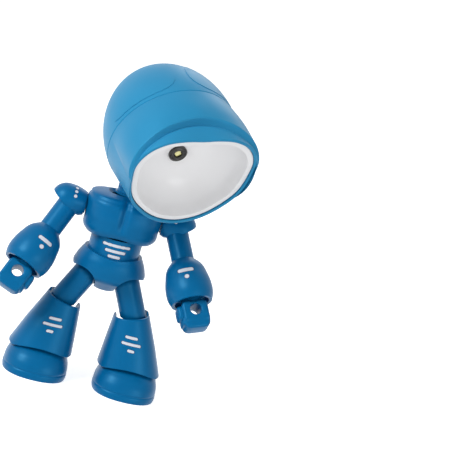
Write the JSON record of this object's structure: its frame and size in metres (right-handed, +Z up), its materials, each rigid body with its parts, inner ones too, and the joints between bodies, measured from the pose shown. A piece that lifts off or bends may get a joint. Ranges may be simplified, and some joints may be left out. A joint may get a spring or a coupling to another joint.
{
  "type": "robot desk lamp",
  "caption": "Standing robot shaped desk lamp: a big round lamp head with a white reflector bowl on a pan and tilt neck, posable arms and legs, and broad flat feet.",
  "frame": {"origin": "on the floor, under the middle of the lamp's bounding box", "axes": "+Z up, -Y the way the robot's chest faces, +X to the viewer's right"},
  "size_m": [0.117, 0.0912, 0.1871],
  "materials": {
    "head_blue": "satin moulded ABS, lighter blue",
    "body_blue": "satin moulded ABS, deeper blue",
    "reflector_white": "smooth white reflector",
    "black_plastic": "moulded black",
    "phosphor_yellow": "yellow phosphor under clear resin",
    "board_metal": "aluminium core board",
    "board_green": "green solder mask",
    "cell_wrap": "silver pouch cell",
    "steel": "zinc plated steel",
    "nylon_white": "nylon",
    "sole_rubber": "dark non-slip sole"
  },
  "bodies": {
    "pelvis": {"pelvis_front": "body_blue", "pelvis_back": "body_blue", "pelvis_screws": "steel", "waist_screw": "steel", "hip_axle": "steel"},
    "torso": {"chest_front": "body_blue", "chest_back": "body_blue", "chest_screws": "steel", "shoulder_axle": "steel", "shoulder_washers": "nylon_white", "waist_core": "body_blue", "neck_bush": "nylon_white"},
    "neck": {"neck_post": "body_blue", "tilt_pin": "steel", "friction_washers": "nylon_white", "neck_clip": "steel"},
    "head": {"rear_dome": "head_blue", "front_hood": "head_blue", "head_screws": "steel", "reflector_bowl": "reflector_white", "led_collar": "black_plastic", "led_lens": "phosphor_yellow", "led_board": "board_metal", "control_board": "board_green", "tact_switch": "black_plastic", "charge_socket": "steel", "battery_cell": "cell_wrap", "battery_cradle": "black_plastic", "neck_bracket": "body_blue"},
    "button": {"power_button": "head_blue"},
    "upper_arm_left": {"upper_arm_left": "body_blue", "shoulder_cap_left": "body_blue"},
    "forearm_left": {"gauntlet_left": "body_blue"},
    "hand_left": {"hand_left": "body_blue"},
    "thigh_left": {"thigh_left": "body_blue"},
    "shin_left": {"shin_core_left": "body_blue", "shin_guard_left": "body_blue", "knee_pin_left": "steel"},
    "foot_left": {"foot_shell_left": "body_blue", "sole_plate_left": "sole_rubber", "foot_weight_left": "steel", "ankle_pin_left": "steel"},
    "upper_arm_right": {"upper_arm_right": "body_blue", "shoulder_cap_right": "body_blue"},
    "forearm_right": {"gauntlet_right": "body_blue"},
    "hand_right": {"hand_right": "body_blue"},
    "thigh_right": {"thigh_right": "body_blue"},
    "shin_right": {"shin_core_right": "body_blue", "shin_guard_right": "body_blue", "knee_pin_right": "steel"},
    "foot_right": {"foot_shell_right": "body_blue", "sole_plate_right": "sole_rubber", "foot_weight_right": "steel", "ankle_pin_right": "steel"}
  },
  "joints": [
    {"name": "waist_turn", "type": "hinge", "parent": "pelvis", "child": "torso", "pos_m": [-0.0003, 0.02717, 0.07], "axis": [0, 0, 1], "range_deg": [-35, 35]},
    {"name": "head_pan", "type": "hinge", "parent": "torso", "child": "neck", "pos_m": [-0.0003, 0.02717, 0.11], "axis": [0, 0, 1], "range_deg": [-78, 22]},
    {"name": "head_tilt", "type": "hinge", "parent": "neck", "child": "head", "pos_m": [-0.0003, 0.02717, 0.1179], "axis": [-0.8886, -0.4587, 0], "range_deg": [-6, 42]},
    {"name": "power_press", "type": "slide", "parent": "head", "child": "button", "axis": [0.4087, -0.7918, -0.454], "range_m": [0, 0.0015], "stiffness_N_per_m": 400, "springref_m": -0.0015},
    {"name": "shoulder_left", "type": "hinge", "parent": "torso", "child": "upper_arm_left", "pos_m": [-0.0297, 0.02717, 0.0985], "axis": [-1, 0, 0], "range_deg": [-60, 50]},
    {"name": "elbow_left", "type": "hinge", "parent": "upper_arm_left", "child": "forearm_left", "pos_m": [-0.03749, 0.01753, 0.0818], "axis": [-0.3746, -0.4636, -0.803], "range_deg": [-90, 90]},
    {"name": "wrist_left", "type": "hinge", "parent": "forearm_left", "child": "hand_left", "pos_m": [-0.04678, 0.00603, 0.06189], "axis": [-0.3746, -0.4636, -0.803], "range_deg": [-90, 90]},
    {"name": "hip_left", "type": "hinge", "parent": "pelvis", "child": "thigh_left", "pos_m": [-0.0124, 0.02717, 0.06], "axis": [-1, 0, 0], "range_deg": [-20, 60]},
    {"name": "knee_left", "type": "hinge", "parent": "thigh_left", "child": "shin_left", "pos_m": [-0.0237, 0.02717, 0.0365], "axis": [1, 0, 0], "range_deg": [0, 50]},
    {"name": "ankle_left", "type": "hinge", "parent": "shin_left", "child": "foot_left", "pos_m": [-0.0255, 0.02717, 0.011], "axis": [-1, 0, 0], "range_deg": [-8, 3]},
    {"name": "shoulder_right", "type": "hinge", "parent": "torso", "child": "upper_arm_right", "pos_m": [0.0291, 0.02717, 0.0985], "axis": [-1, 0, 0], "range_deg": [-70, 40]},
    {"name": "elbow_right", "type": "hinge", "parent": "upper_arm_right", "child": "forearm_right", "pos_m": [0.03689, 0.01477, 0.08373], "axis": [0.3746, -0.596, -0.7103], "range_deg": [-90, 90]},
    {"name": "wrist_right", "type": "hinge", "parent": "forearm_right", "child": "hand_right", "pos_m": [0.04618, -0.00001, 0.06611], "axis": [0.3746, -0.596, -0.7103], "range_deg": [-90, 90]},
    {"name": "hip_right", "type": "hinge", "parent": "pelvis", "child": "thigh_right", "pos_m": [0.0118, 0.02717, 0.06], "axis": [-1, 0, 0], "range_deg": [-20, 60]},
    {"name": "knee_right", "type": "hinge", "parent": "thigh_right", "child": "shin_right", "pos_m": [0.0231, 0.02717, 0.0365], "axis": [1, 0, 0], "range_deg": [0, 50]},
    {"name": "ankle_right", "type": "hinge", "parent": "shin_right", "child": "foot_right", "pos_m": [0.0249, 0.02717, 0.011], "axis": [-1, 0, 0], "range_deg": [-8, 3]}
  ]
}
